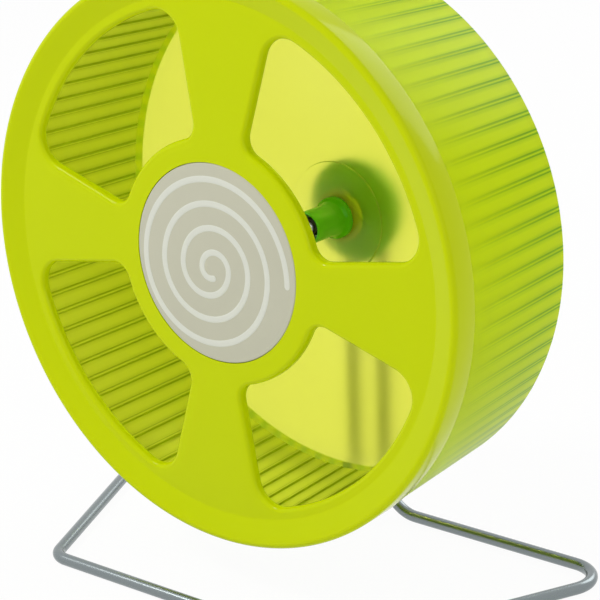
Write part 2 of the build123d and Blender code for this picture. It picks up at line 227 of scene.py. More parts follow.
def turned(outline, angles, closed=True):
    """Surface of revolution about the axle: each (depth, radius) of the outline is carried
    round the axle through the angles."""
    depth = outline[:, 0][:, None]
    radius = outline[:, 1][:, None]
    points = wheel_point(depth, radius * np.cos(angles), radius * np.sin(angles))
    quads = grid_quads(len(outline), len(angles), closed, True)
    return points.reshape(-1, 3), quads


def around(count):
    """That many equal steps of one full turn."""
    return np.arange(count) * 2 * math.pi / count


# Materials


def node(tree, kind, settings=None, inputs=None):
    """A node with its settings; an input takes a value or another node's output."""
    made = tree.nodes.new(kind)
    for key, value in (settings or {}).items():
        setattr(made, key, value)
    for key, value in (inputs or {}).items():
        if isinstance(value, bpy.types.NodeSocket):
            tree.links.new(value, made.inputs[key])
        else:
            made.inputs[key].default_value = value
    return made


def blank(name):
    """An empty node material and its tree and output."""
    made = bpy.data.materials.new(name)
    made.use_nodes = True
    tree = made.node_tree
    tree.nodes.clear()
    return made, tree, node(tree, "ShaderNodeOutputMaterial")


def shade(name, rgb, roughness, metallic=0.0, ior=1.5, patch_mm=30, patch=0.06,
          grain_mm=0.6, grain=0.02, roughness_swing=0.08, **extra):
    """A surface of one colour that drifts a little over patches, with a fine bump of grain."""
    made, tree, out = blank(name)
    place = node(tree, "ShaderNodeTexCoord").outputs["Object"]
    broad = node(tree, "ShaderNodeTexNoise", None,
                 {"Vector": place, "Scale": 1 / (patch_mm * MM), "Detail": 3.0}).outputs["Fac"]
    fine = node(tree, "ShaderNodeTexNoise", None,
                {"Vector": place, "Scale": 1 / (grain_mm * MM), "Detail": 2.0}).outputs["Fac"]
    dark = tuple(c * (1 - patch) for c in rgb) + (1.0,)
    light = tuple(min(1.0, c * (1 + patch)) for c in rgb) + (1.0,)
    tint = node(tree, "ShaderNodeMix", {"data_type": "RGBA"}, {0: broad, 6: dark, 7: light})
    rough = node(tree, "ShaderNodeMapRange", None,
                 {"Value": fine, "To Min": roughness - roughness_swing / 2,
                  "To Max": roughness + roughness_swing / 2})
    bump = node(tree, "ShaderNodeBump", None,
                {"Height": fine, "Strength": 0.35, "Distance": grain * MM})
    body = node(tree, "ShaderNodeBsdfPrincipled", None,
                {"Base Color": tint.outputs[2], "Roughness": rough.outputs[0],
                 "Metallic": metallic, "IOR": ior, "Normal": bump.outputs[0]})
    for key, value in extra.items():
        body.inputs[key.replace("_", " ")].default_value = value
    tree.links.new(body.outputs[0], out.inputs[0])
    return made


def finish_piece(piece, material, body, slot_name, *nodes):
    """Gives a piece its material, its body and the nodes that it stands for."""
    piece.data.materials.clear()
    piece.data.materials.append(material)
    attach(piece, body)
    if nodes:
        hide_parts(*nodes)


def dress(material, *nodes):
    """Gives CAD nodes a material and leaves their shape alone."""
    for name in nodes:
        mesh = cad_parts[name].data
        mesh.materials.clear()
        mesh.materials.append(material)


def lime_abs(colours):
    """ABS, injection moulded in a polished mould: even, glossy, with a trace of orange peel."""
    return shade("lime ABS, moulded", colours.ring, 0.13, ior=1.25, patch=0.015,
                 grain_mm=2.2, grain=0.002, roughness_swing=0.02, Specular_IOR_Level=0.25)


def clear_lime(colours):
    """Tinted polystyrene, moulded: its thin back wall is hazy and bright, so what is behind
    it shows blurred."""
    return shade("tinted polystyrene, back wall", colours.back_wall, 0.34, ior=1.4,
                 patch=0.01, grain_mm=3.0, grain=0.002, roughness_swing=0.03,
                 Transmission_Weight=0.9, Specular_IOR_Level=0.4)


def paint_flank_shade(made, rgb):
    """Paints shade: turns a material's colour to a darker one where the mesh's bar_shade_line
    attribute is high.
    """
    tree = made.node_tree
    body = next(n for n in tree.nodes if n.type == "BSDF_PRINCIPLED")
    tint = body.inputs["Base Color"].links[0].from_socket
    # The mask of the painted shade on the bars' flanks.
    line = node(tree, "ShaderNodeAttribute", {"attribute_name": "bar_shade_line"})
    flank_shaded = node(tree, "ShaderNodeMix", {"data_type": "RGBA"},
                 {0: line.outputs["Fac"], 6: tint, 7: tuple(rgb) + (1.0,)})
    tree.links.new(flank_shaded.outputs[2], body.inputs["Base Color"])
    return made


def painted_lit_tread(colours):
    """The inside of the tapered wall: painted light, a paler lime than the outside standing in
    for light coming through the wall, with painted shade: the flanks of its bars a deeper olive."""
    made = shade("tinted polystyrene, tread with painted light and shade", colours.tread, 0.34, ior=1.35,
                 patch=0.01, grain_mm=3.0, grain=0.002, roughness_swing=0.03,
                 Transmission_Weight=0.5, Specular_IOR_Level=0.2)
    # Painted shade: the bars' flanks darkened to olive.
    return paint_flank_shade(made, colours.tread_flank_shade)


def deep_lime(colours):
    """The outside of the tapered wall: the wall's own lime, deeper than the tread's painted light,
    with painted shade: thin greener lines where the flanks of the bars inside show through."""
    made = shade("tinted polystyrene, tapered wall with painted shade lines", colours.drum, 0.3, ior=1.2,
                 patch=0.01, grain_mm=3.0, grain=0.002, roughness_swing=0.03,
                 Transmission_Weight=0.4, Specular_IOR_Level=0.1)
    # Painted shade: greener lines where the bars' flanks show through the wall.
    return paint_flank_shade(made, colours.bar_shade_line)


def grey_satin(colours):
    """Polypropylene, moulded in an etched mould: a satin warm grey."""
    return shade("grey polypropylene, moulded", colours.disc, 0.42, patch=0.03,
                 grain_mm=0.9, grain=0.02)


def pale_ribbon(colours):
    """Polypropylene, moulded: paler and a little smoother than the disc round it."""
    return shade("pale polypropylene, moulded", colours.ribbon, 0.36, patch=0.02)


def dark_green(colours):
    """Nylon, moulded: deep green with a soft gloss."""
    return shade("green nylon, moulded", colours.green, 0.22, patch=0.03, grain=0.003,
                 roughness_swing=0.04, Specular_IOR_Level=0.35)


def coated_wire(colours):
    """Steel wire with a metallic grey coat: satin, it mirrors the wheel as an olive band."""
    return shade("grey coated steel wire", colours.wire, 0.24, metallic=0.85, patch=0.04,
                 grain_mm=0.8, grain=0.01, roughness_swing=0.06)


def zinc_plate():
    """Steel, zinc plated: pale, slightly blue metal with a fine brushed grain."""
    return shade("zinc-plated steel", hex_rgb("#C4C8CA"), 0.32, metallic=1.0, patch=0.05)


def shaded_nut_steel():
    """Steel, near black and slightly brown: painted shade, dark so that the nut stands in for the
    shade deep in the sleeve's mouth.
    """
    return shade("dark steel, painted shade", hex_rgb("#3A3530"), 0.4, metallic=1.0, patch=0.08)


def bearing_steel():
    """Chrome steel, ground and polished."""
    return shade("ground bearing steel", hex_rgb("#C8C8C6"), 0.16, metallic=1.0, patch=0.03)


def cage_nylon():
    """Nylon, moulded, in its natural milky colour."""
    return shade("natural nylon, moulded", hex_rgb("#E2DCC8"), 0.4)


# The front ring


def dish_depth(radius, sizes):
    """Depth of the plate's front face: a shallow cone from the disc to the flare."""
    start = sizes.disc_radius + DISC_GAP
    return sizes.dish * (radius - start) / (sizes.flare_radius - start)


def resample(points, normals, steps):
    """Points and normals at equal arc lengths along a fine polyline."""
    run = np.concatenate([[0], np.cumsum(np.linalg.norm(np.diff(points, axis=0), axis=1))])
    at = np.linspace(0, run[-1], steps + 1)
    spread = [np.interp(at, run, column) for column in np.concatenate([points, normals], 1).T]
    spread = np.stack(spread, axis=1)
    normal = spread[:, 2:] / np.linalg.norm(spread[:, 2:], axis=1, keepdims=True)
    return spread[:, :2], normal


def opening_contour(sizes, arc_steps, side_steps):
    """The rounded opening about angle 0, anticlockwise from the middle of its lower outer
    corner, with outward normals: arcs and lines sampled finely, then evenly by length
    between the middles of the four corners."""
    half = sizes.opening_half
    outer, inner = sizes.opening_outer, sizes.opening_inner
    big, small = sizes.outer_corner, sizes.inner_corner
    far_turn = half - math.asin(big / (outer - big))
    near_turn = half - math.asin(small / (inner + small))
    far = (outer - big) * np.array([math.cos(far_turn), math.sin(far_turn)])
    near = (inner + small) * np.array([math.cos(near_turn), math.sin(near_turn)])
    side = half + math.pi / 2
    far_mid = (far_turn + side) / 2
    near_mid = (side + near_turn + math.pi) / 2

    def bend(centre, radius, start, end, facing=1):
        turn = np.linspace(start, end, 200)
        normal = np.stack([np.cos(turn), np.sin(turn)], axis=1)
        return centre + radius * normal, normal * facing

    def joined(*pieces):
        points = np.concatenate([p for p, _ in pieces])
        normals = np.concatenate([n for _, n in pieces])
        keep = np.concatenate([[True], np.linalg.norm(np.diff(points, axis=0), axis=1) > 1e-9])
        return points[keep], normals[keep]

    def flipped(piece):
        points, normals = piece
        return points[::-1] * [1, -1], normals[::-1] * [1, -1]

    corner_a = bend(far, big, far_turn, far_mid)
    corner_b = bend(far, big, far_mid, side)
    corner_c = bend(near, small, side, near_mid)
    corner_d = bend(near, small, near_mid, near_turn + math.pi)
    outer_arc = bend(np.zeros(2), outer, -far_turn, far_turn)
    inner_arc = bend(np.zeros(2), inner, near_turn, -near_turn, -1)
    loops = [
        (joined(flipped(corner_a), outer_arc, corner_a), arc_steps),
        (joined(corner_b, corner_c), side_steps),
        (joined(corner_d, inner_arc, flipped(corner_d)), arc_steps),
        (joined(flipped(corner_c), flipped(corner_b)), side_steps),
    ]
    evenly = [resample(points, normals, steps) for (points, normals), steps in loops]
    return (
        np.concatenate([p[:-1] for p, _ in evenly]),
        np.concatenate([n[:-1] for _, n in evenly]),
    )


def quarter_edge(inner, outer, arc_steps, side_steps):
    """Outline of a quarter of a ring about angle 0, in step with the opening's contour."""
    quarter = math.pi / QUARTERS
    out_turn = np.linspace(-quarter, quarter, arc_steps + 1)[:-1]
    in_turn = out_turn[:1] * -1 + (out_turn[0] - out_turn)
    fall = np.linspace(outer, inner, side_steps + 1)[:-1]
    rise = np.linspace(inner, outer, side_steps + 1)[:-1]
    return np.concatenate([
        np.stack([outer * np.cos(out_turn), outer * np.sin(out_turn)], axis=1),
        np.stack([fall * math.cos(quarter), fall * math.sin(quarter)], axis=1),
        np.stack([inner * np.cos(in_turn), inner * np.sin(in_turn)], axis=1),
        np.stack([rise * math.cos(quarter), -rise * math.sin(quarter)], axis=1),
    ])


def plate_quarter(sizes, arc_steps, side_steps, centre):
    """A quarter of the plate as rings round its opening. From the quarter's edge the front
    face runs inwards as a blend of edge and lip, rolls over the lip's quarter circle, goes
    back along the hole, round the flange and out again along the rear face."""
    contour, normal = opening_contour(sizes, arc_steps, side_steps)
    recess = sizes.disc_radius + DISC_GAP
    front_edge = quarter_edge(recess, sizes.flare_radius, arc_steps, side_steps)
    back_edge = quarter_edge(
        recess + 2 * sizes.ring_wall, sizes.flare_radius, arc_steps, side_steps
    )
    rings = []

    def add_ring(flat, depth):
        rings.append(np.concatenate([flat, np.broadcast_to(depth, (len(flat), 1))], axis=1))

    def face_depth(flat):
        return dish_depth(np.linalg.norm(flat, axis=1, keepdims=True), sizes)

    roll = sizes.lip_round
    lip = contour + normal * roll
    for share in np.linspace(0, 1, 7):
        flat = front_edge * (1 - share) + lip * share
        add_ring(flat, face_depth(flat))
    for turn in np.radians(np.linspace(10, 90, 9)):
        flat = contour + normal * roll * (1 - math.sin(turn))
        add_ring(flat, face_depth(flat) + roll * (1 - math.cos(turn)))
    edge_round = 0.6 * MM
    add_ring(contour, sizes.lip_depth - edge_round)
    add_ring(contour + normal * edge_round * 0.3, sizes.lip_depth - edge_round * 0.3)
    add_ring(contour + normal * edge_round, sizes.lip_depth)
    add_ring(contour + normal * (sizes.lip_wall - edge_round), sizes.lip_depth)
    add_ring(contour + normal * sizes.lip_wall, sizes.lip_depth - edge_round)
    flange = contour + normal * sizes.lip_wall
    for share in np.linspace(0, 1, 6):
        flat = flange * (1 - share) + back_edge * share
        add_ring(flat, face_depth(flat) + sizes.ring_wall)
    grid = np.stack(rings)
    c, s = math.cos(centre), math.sin(centre)
    across = grid[..., 0] * c - grid[..., 1] * s
    up = grid[..., 0] * s + grid[..., 1] * c
    points = wheel_point(grid[..., 2], across, up)
    return points.reshape(-1, 3), grid_quads(len(rings), grid.shape[1], False, True)


def flare_outline(sizes):
    """Outline of the rim from the plate's front to its rear face: a cone that leaves the
    plate through a tight bend and touches the crest's circle, whose tangent from the bend
    leans by the angle to the circle's middle plus the angle that its radius spans."""
    crest_x = sizes.crest_round - sizes.crest_reach
    run = sizes.dish - crest_x
    rise = sizes.rim_radius - sizes.crest_round - sizes.flare_radius
    span = math.hypot(run, rise)
    slope = math.atan2(run, rise) + math.asin(sizes.crest_round / span)
    lean = math.degrees(slope)
    tight = 2.2 * MM
    middle = (sizes.dish - tight, sizes.flare_radius)
    crest = (crest_x, sizes.rim_radius - sizes.crest_round)
    bore = sizes.rim_radius - sizes.ring_wall
    bend = arc(middle, tight, 0, lean, 7)
    landing = np.array(crest) + sizes.crest_round * np.array([-math.cos(slope), -math.sin(slope)])
    share = np.linspace(0, 1, 8)[1:-1, None]
    front = np.concatenate([bend, bend[-1] * (1 - share) + landing * share, landing[None]])
    over = arc(crest, sizes.crest_round, 180 + lean, 90, 16)
    draft = 0.6 * MM
    edge = rounded(
        [(crest_x, sizes.rim_radius), (sizes.skirt_depth, sizes.rim_radius - draft),
         (sizes.skirt_depth, bore), (crest_x, bore)],
        mm(0, 0.35, 0.25, 0), 4,
    )
    back = arc(middle, tight + sizes.ring_wall, lean, 0, 7)
    return np.concatenate([front, over[1:], edge[1:], back])


class WHEEL_OT_front_ring(bpy.types.Operator):
    """Build the front ring: plate, rolled lips, flared rim and skirt"""

    bl_idname = "wheel.front_ring"
    bl_label = "Front ring"

    def execute(self, context):
        sizes = context.scene.wheel_sizes
        arc_steps, side_steps = 90, 36
        step = around(QUARTERS * arc_steps)
        recess = sizes.disc_radius + DISC_GAP
        wall = sizes.ring_wall
        parts = [
            plate_quarter(sizes, arc_steps, side_steps, (2 * k + 1) * math.pi / QUARTERS)
            for k in range(QUARTERS)
        ]
        parts.append(turned(flare_outline(sizes), step, closed=False))
        seat = np.array([
            (0, recess), (sizes.disc_thickness, recess), (sizes.disc_thickness, 0),
        ])
        rear = np.array([
            (sizes.disc_thickness + wall, 0),
            (sizes.disc_thickness + wall, recess + wall),
            (float(dish_depth(recess + 2 * wall, sizes)) + wall, recess + 2 * wall),
        ])
        parts.append(turned(seat, step, closed=False))
        parts.append(turned(rear, step, closed=False))
        ring = lay_mesh("front_ring_surface", parts)
        finish_piece(ring, lime_abs(context.scene.wheel_colours), "wheel", "lime_opaque",
                     "front_ring")
        return {"FINISHED"}


# The disc and its spiral


def spiral_line(steps_per_turn):
    """Middle line of the spiral: half circles that meet on one level line, each tighter
    than the last by one step, and a short last arc. Returns points, tangents and run."""
    level, step, first, last = -2.9 * MM, 5.88 * MM, 43.45 * MM, 5.2 * MM
    halves, last_span = 7, 112
    points, tangents = [], []
    end_x, side = first, 1
    radii = [first - k * step for k in range(halves)] + [last]
    spans = [180] * halves + [last_span]
    for radius, span in zip(radii, spans):
        middle_x = end_x - side * radius
        start = 0 if side > 0 else 180
        turn = np.radians(np.linspace(start, start + span, int(steps_per_turn * span / 360) + 2))
        points.append(np.stack(
            [middle_x + radius * np.cos(turn), level + radius * np.sin(turn)], axis=1)[1:])
        tangents.append(np.stack([-np.sin(turn), np.cos(turn)], axis=1)[1:])
        end_x = middle_x - side * radius
        side = -side
    points = np.concatenate(points)
    tangents = np.concatenate(tangents)
    run = np.concatenate([[0], np.cumsum(np.linalg.norm(np.diff(points, axis=0), axis=1))])
    return points, tangents, run


class WHEEL_OT_centre_disc(bpy.types.Operator):
    """Build the centre disc and the ribbon spiral laid into it"""

    bl_idname = "wheel.centre_disc"
    bl_label = "Centre disc"

    def execute(self, context):
        sizes = context.scene.wheel_sizes
        colours = context.scene.wheel_colours
        front_edge = 0.7 * MM
        outline = rounded(
            [(0, 0), (0, sizes.disc_radius), (sizes.disc_thickness, sizes.disc_radius),
             (sizes.disc_thickness, 0)],
            [0, front_edge, 0, 0],
        )
        disc = lay_mesh("centre_disc_surface", [turned(outline, around(180))])
        finish_piece(disc, grey_satin(colours), "wheel", "grey_plastic", "centre_disc")

        points, tangents, run = spiral_line(120)
        half = sizes.ribbon_width / 2
        total = run[-1]
        along_steps, end_steps = 640, 9
        # Both ends are round: the ribbon runs on by half its width as it narrows.
        lead = half * (1 - np.cos(np.linspace(0, math.pi / 2, end_steps)))[:-1]
        at = np.concatenate(
            [lead - half, np.linspace(0, total, along_steps), total + half - lead[::-1]]
        )
        inside = np.clip(at, 0, total)
        beyond = at - inside
        line = np.stack([np.interp(inside, run, points[:, i]) for i in (0, 1)], axis=1)
        along = np.stack([np.interp(inside, run, tangents[:, i]) for i in (0, 1)], axis=1)
        along /= np.linalg.norm(along, axis=1, keepdims=True)
        line = line + along * beyond[:, None]
        width = np.sqrt(np.maximum(half**2 - beyond**2, 0))
        normal = np.stack([along[:, 1], -along[:, 0]], axis=1)
        # Across the ribbon: straight sides, then a low crown with softened edges.
        section = np.array([
            (-1, 0.3), (-1, -0.02), (-0.93, -0.09), (-0.5, -0.115), (0, -0.125),
            (0.5, -0.115), (0.93, -0.09), (1, -0.02), (1, 0.3),
        ])
        flat = line[:, None] + normal[:, None] * (width[:, None] * section[:, 0])[..., None]
        ribbon_points = wheel_point(section[:, 1] * MM, flat[..., 0], flat[..., 1])
        ribbon = lay_mesh(
            "spiral_ribbon",
            [(ribbon_points.reshape(-1, 3), grid_quads(len(at), len(section), False, True))],
        )
        finish_piece(ribbon, pale_ribbon(colours), "wheel", "pale_plastic", "spiral_inlay")
        return {"FINISHED"}


# The drum


def read_rows(items, name):
    """A three-number property of mesh items as rows."""
    rows = np.empty(len(items) * 3)
    items.foreach_get(name, rows)
    return rows.reshape(-1, 3)


def mark_flank_shade(mesh, sizes, front, rear):
    """Writes the bar_shade_line attribute, the mask of the painted shade on the bars' flanks: it
    is exp(-(distance from the bar's flank / spread)^2), between the front and rear depths, and 0
    elsewhere."""
    spread = 0.45 * MM
    place = read_rows(mesh.vertices, "co")
    x, depth, z = place[:, 0], place[:, 1] - FRONT_Y, place[:, 2] - AXLE_Z
    across = x * math.cos(TURN) - z * math.sin(TURN)
    up = x * math.sin(TURN) + z * math.cos(TURN)
    pitch = 2 * math.pi / sizes.bar_count
    off = (np.arctan2(up, across) - FIRST_BAR + pitch / 2) % pitch - pitch / 2
    flank = np.abs(off) * np.hypot(x, z) - sizes.bar_width / 2
    line = np.exp(-((flank / spread) ** 2))
    line *= (depth > front) & (depth < rear)
    mark = mesh.attributes.new("bar_shade_line", "FLOAT", "POINT")
    mark.data.foreach_set("value", line.astype(np.float32))


class WHEEL_OT_drum(bpy.types.Operator):
    """Build the drum: tapered wall with bars inside, smooth band and back wall"""

    bl_idname = "wheel.drum"
    bl_label = "Drum"

    def execute(self, context):
        sizes = context.scene.wheel_sizes
        skirt = sizes.skirt_depth
        back = sizes.drum_depth
        wall = sizes.drum_wall
        face = back - wall
        outer_front, outer_rear = 138.6 * MM, 133.0 * MM
        slope = (outer_front - outer_rear) / (back - skirt)
        band_start, band_inner, band_hollow = 88.0 * MM, 117.8 * MM, 0.7 * MM
        tread_rear = outer_front - slope * (band_start - skirt) - wall
        mouth, mouth_radius, mouth_wall = 3.6 * MM, 137.8 * MM, 1.6 * MM
        mouth_bore = mouth_radius - mouth_wall
        hub_hole, boss, boss_face = 8.95 * MM, 28 * MM, face - 0.8 * MM
        outside = rounded(
            [(mouth, mouth_bore), (mouth, mouth_radius), (skirt, mouth_radius),
             (skirt, outer_front), (back, outer_rear), (back, hub_hole),
             (boss_face, hub_hole), (boss_face, boss), (face, boss), (face, band_inner)],
            mm(0.3, 0.3, 0, 0.25, 3.0, 0.3, 0.2, 0.3, 0.3, 0),
            7,
        )
        # The band is a shallow hollow between the back wall and the tread: a parabola whose
        # sag points back and out.
        share = np.linspace(0, 1, 9)[1:]
        sag_back, sag_out = 0.96, 0.27
        sag = 4 * band_hollow * share * (1 - share)
        band = np.stack([
            face + (band_start - face) * share + sag * sag_back,
            band_inner + (tread_rear - band_inner) * share + sag * sag_out,
        ], axis=1)
        bar_front, bar_rear, ramp = skirt + 1.2 * MM, band_start, 0.9 * MM
        stops = np.concatenate([
            bar_rear - mm(0.1, 0.5, 1.0),
            np.linspace(bar_rear - 6 * MM, bar_front + 6 * MM, 9),
            bar_front + mm(1.0, 0.5, 0.0),
        ])
        tread = np.stack([
            stops,
            mouth_bore + (tread_rear - mouth_bore) * (stops - mouth) / (band_start - mouth),
        ], axis=1)
        outline = np.concatenate([outside, band, tread])
        lift = np.zeros(len(outline))
        lift[-len(tread):] = np.clip(
            np.minimum(bar_rear - stops, stops - bar_front) / ramp, 0, 1
        )
        # Round the drum every bar takes the same steps: foot, flank, crown, flank, foot, gap.
        half = sizes.bar_width / 2 / outer_rear
        pitch = 2 * math.pi / sizes.bar_count
        within = np.array([-1.55, -1.2, -1.0, -0.75, 0.0, 0.75, 1.0, 1.2, 1.55]) * half
        height = np.array([0, 0.1, 0.6, 1, 1, 1, 0.6, 0.1, 0])
        gap = np.array([0.36, 0.5, 0.64]) * pitch
        within = np.concatenate([within, gap])
        height = np.concatenate([height, np.zeros(len(gap))])
        starts = FIRST_BAR + pitch * np.arange(sizes.bar_count)
        angles = (starts[:, None] + within[None]).ravel()
        bars = np.tile(height, sizes.bar_count)
        depth = outline[:, 0][:, None]
        radius = outline[:, 1][:, None] - sizes.bar_height * lift[:, None] * bars
        points = wheel_point(depth, radius * np.cos(angles), radius * np.sin(angles))
        drum = lay_mesh(
            "drum_shell",
            [(points.reshape(-1, 3), grid_quads(len(outline), len(angles), True, True))],
            sharp=50,
        )
        colours = context.scene.wheel_colours
        finish_piece(drum, deep_lime(colours), "wheel", "lime_translucent", "drum")
        drum.data.materials.append(clear_lime(colours))
        # The tread's material: painted light for the lit-through glow, and painted shade on the
        # bars' flanks.
        drum.data.materials.append(painted_lit_tread(colours))
        place = read_rows(drum.data.polygons, "center")
        normal = read_rows(drum.data.polygons, "normal")
        radius = np.hypot(place[:, 0], place[:, 2] - AXLE_Z)
        outward = (normal[:, 0] * place[:, 0] + normal[:, 2] * (place[:, 2] - AXLE_Z)) / radius
        is_back = (place[:, 1] - FRONT_Y > face - 5 * MM) & (radius < tread_rear - 0.5 * MM)
        outside_slot, back_slot, tread_slot = 0, 1, 2
        kind = np.where(outward > 0.2, outside_slot, tread_slot)
        kind = np.where(is_back, back_slot, kind)
        drum.data.polygons.foreach_set("material_index", kind.astype(np.int32))
        # The mask of the painted shade on the bars' flanks, for the tread and the outside alike.
        mark_flank_shade(drum.data, sizes, bar_front, back - 0.2 * MM)
        return {"FINISHED"}


# Hub, bearings and axle


class WHEEL_OT_hub(bpy.types.Operator):
    """Build the hub sleeve and its lock ring, and finish the bearings and the axle"""

    bl_idname = "wheel.hub"
    bl_label = "Hub"

    def execute(self, context):
        colours = context.scene.wheel_colours
        green = dark_green(colours)
        # Depth and radius pairs: out along the tube, over the collar, down the spigot that
        # goes through the back wall, and home through the two bearing seats.
        tube, collar, spigot, bore, seat, throat = 8.2, 10.6, 8.9, 7.25, 7.02, 6.0
        mouth, wall_seat, end = 67.2, 91.0, 96.9
        front_seat, middle, rear_seat = 75.4, 80.4, 91.4
        sleeve = rounded(
            mm((mouth, bore), (mouth, tube), (83.0, tube), (86.6, 9.0), (88.2, collar),
               (wall_seat, collar), (wall_seat, spigot), (end, spigot), (end, seat),
               (rear_seat, seat), (rear_seat, throat), (middle, throat), (middle, seat),
               (front_seat, seat), (front_seat, bore)),
            mm(0.3, 0.4, 6, 1.2, 1.2, 0, 0, 0.4, 0.2, 0, 0, 0, 0, 0, 0),
        )
        piece = lay_mesh("hub_sleeve_surface", [turned(sleeve, around(96))])
        finish_piece(piece, green, "wheel", "green_plastic", "hub_sleeve")

        # The lock ring's edge is a circle with round notches for a spanner.
        hole, outer, notch = 8.92 * MM, 13.5 * MM, 1.5 * MM
        apart = math.pi / 3
        angles = around(288)
        off = (angles + apart / 2) % apart - apart / 2
        bite = notch**2 - (outer * np.sin(off)) ** 2
        edge = np.where(bite > 0, outer * np.cos(off) - np.sqrt(np.maximum(bite, 0)), outer)
        depths = mm(93.9, 93.9, 96.2, 96.6, 96.6, 93.9)
        share = np.array([0, 1, 1, 0.94, 0, 0])[:, None]
        radius = hole * (1 - share) + edge[None] * share
        points = wheel_point(depths[:, None], radius * np.cos(angles), radius * np.sin(angles))
        ring = lay_mesh(
            "lock_ring_surface",
            [(points.reshape(-1, 3), grid_quads(len(depths), len(angles), True, True))],
        )
        # Painted light: the lock ring takes the front ring's lime rather than green, so the shaded
        # gap behind the back wall reads lighter.
        finish_piece(ring, lime_abs(colours), "wheel", "green_plastic", "hub_lock_ring")

        dress(zinc_plate(), "axle_bolt", "nut_washer", "bearing_spacer", "head_screws")
        # Painted shade: the nut is near black so the sleeve's mouth reads dark.
        dress(shaded_nut_steel(), "axle_nut")
        steel = bearing_steel()
        for end in ("front", "rear"):
            dress(steel, f"{end}_bearing_inner_ring", f"{end}_bearing_outer_ring",
                  f"{end}_bearing_balls", f"{end}_bearing_shields")
        nylon = cage_nylon()
        dress(nylon, "front_bearing_cage", "rear_bearing_cage")
        return {"FINISHED"}


# The stand


def wire_line(wire):
    """Middle line of the wire, left post to right post, with a sideways vector: corners
    are bridged by arcs, and the vector is the depth axis on the posts and lies across the
    line, level, in the foot."""
    post_y = FRONT_Y + POST_DEPTH
    front_y = post_y - FOOT_DEPTH
    post_x, rear_x, front_x = mm(9.65, 152.05, 89.2)
    post_bend, rear_bend, front_bend = mm(19, 17, 12)
    right = [
        ((post_x, post_y, AXLE_Z + POST_PAST_AXLE), 0),
        ((post_x, post_y, wire), post_bend),
        ((rear_x, post_y, wire), rear_bend),
        ((front_x, front_y, wire), front_bend),
    ]
    left = [((-x, y, z), bend) for (x, y, z), bend in right[::-1]]
    corners = [(np.array(p), bend) for p, bend in right + left]
    line = [corners[0][0][None]]
    for (before, _), (here, bend), (after, _) in zip(corners, corners[1:], corners[2:]):
        back = (before - here) / np.linalg.norm(before - here)
        ahead = (after - here) / np.linalg.norm(after - here)
        half = math.acos(np.clip(back @ ahead, -1, 1)) / 2
        inward = (back + ahead) / np.linalg.norm(back + ahead)
        centre = here + inward * bend / math.sin(half)
        first = here + back * bend / math.tan(half) - centre
        last = here + ahead * bend / math.tan(half) - centre
        sweep = math.pi - 2 * half
        share = np.linspace(0, 1, 25)[:, None]
        line.append(centre + (first * np.sin((1 - share) * sweep) + last * np.sin(share * sweep))
                    / math.sin(sweep))
    line.append(corners[-1][0][None])
    points = np.concatenate(line)
    tangent = np.gradient(points, axis=0)
    step = np.diff(points, axis=0)
    step /= np.linalg.norm(step, axis=1, keepdims=True)
    tangent[1:-1] = step[1:] + step[:-1]
    tangent[0], tangent[-1] = step[0], step[-1]
    tangent /= np.linalg.norm(tangent, axis=1, keepdims=True)
    level = np.stack([-tangent[:, 1], tangent[:, 0], np.zeros(len(tangent))], axis=1)
    on_post = np.abs(tangent[:, 2]) > 1e-6
    sideways = np.where(on_post[:, None], [0.0, 1.0, 0.0], level)
    return points, tangent, sideways / np.linalg.norm(sideways, axis=1, keepdims=True)


class WHEEL_OT_stand(bpy.types.Operator):
    """Build the bent wire stand and the two halves of its head"""

    bl_idname = "wheel.stand"
    bl_label = "Stand"

    def execute(self, context):
        sizes = context.scene.wheel_sizes
        colours = context.scene.wheel_colours
        points, tangent, sideways = wire_line(sizes.wire_radius)
        third = np.cross(tangent, sideways)
        turn = around(28)[None, :, None]
        skin = points[:, None] + sizes.wire_radius * (
            sideways[:, None] * np.cos(turn) + third[:, None] * np.sin(turn)
        )
        ends = np.repeat(points[[0, -1]][:, None], skin.shape[1], axis=1)
        skin = np.concatenate([ends[:1], skin, ends[1:]])
        wire = lay_mesh(
            "stand_wire_surface",
            [(skin.reshape(-1, 3), grid_quads(len(skin), skin.shape[1], False, True))],
        )
        finish_piece(wire, coated_wire(colours), "stand", "grey_coating", "stand_wire")

        green = dark_green(colours)
        # Depth and radius pairs. The two halves meet on the plane of the posts.
        parting, parting_radius, bolt_hole = 116.1, 22.5, 2.5
        front = rounded(
            mm((96.4, bolt_hole), (96.4, 3.6), (98.8, 3.6), (98.8, 10), (101.2, 18.5),
               (104.6, 26), (106.6, 26), (110.5, 25.2), (parting, parting_radius),
               (parting, bolt_hole)),
            mm(0, 0.2, 0.3, 2, 4, 0.9, 0.9, 6, 0, 0),
        )
        cover = rounded(
            mm((parting, 0), (parting, parting_radius), (120.6, 18.6), (123.3, 8),
               (123.3, 0)),
            mm(0, 0, 7, 8, 0),
            9,
        )
        for name, outline in (("head_front", front), ("head_cover", cover)):
            piece = lay_mesh(name + "_surface", [turned(outline, around(120))])
            finish_piece(piece, green, "stand", "green_plastic", name)
        return {"FINISHED"}


# Floor, light and camera


def white_to_camera(tree, shader, strength, share):
    """Mixes a plain glow into a shader, for camera, mirror and see-through rays only."""
    path = node(tree, "ShaderNodeLightPath")
    some = node(tree, "ShaderNodeMath", {"operation": "MAXIMUM"},
                {0: path.outputs["Is Camera Ray"], 1: path.outputs["Is Glossy Ray"]})
    any_ray = node(tree, "ShaderNodeMath", {"operation": "MAXIMUM"},
                   {0: some.outputs[0], 1: path.outputs["Is Transmission Ray"]})
    part = node(tree, "ShaderNodeMath", {"operation": "MULTIPLY"},
                {0: any_ray.outputs[0], 1: share})
    glow = node(tree, "ShaderNodeEmission", None,
                {"Color": (1, 1, 1, 1), "Strength": strength})
    return node(tree, "ShaderNodeMixShader", None,
                {0: part.outputs[0], 1: shader, 2: glow.outputs[0]}).outputs[0]


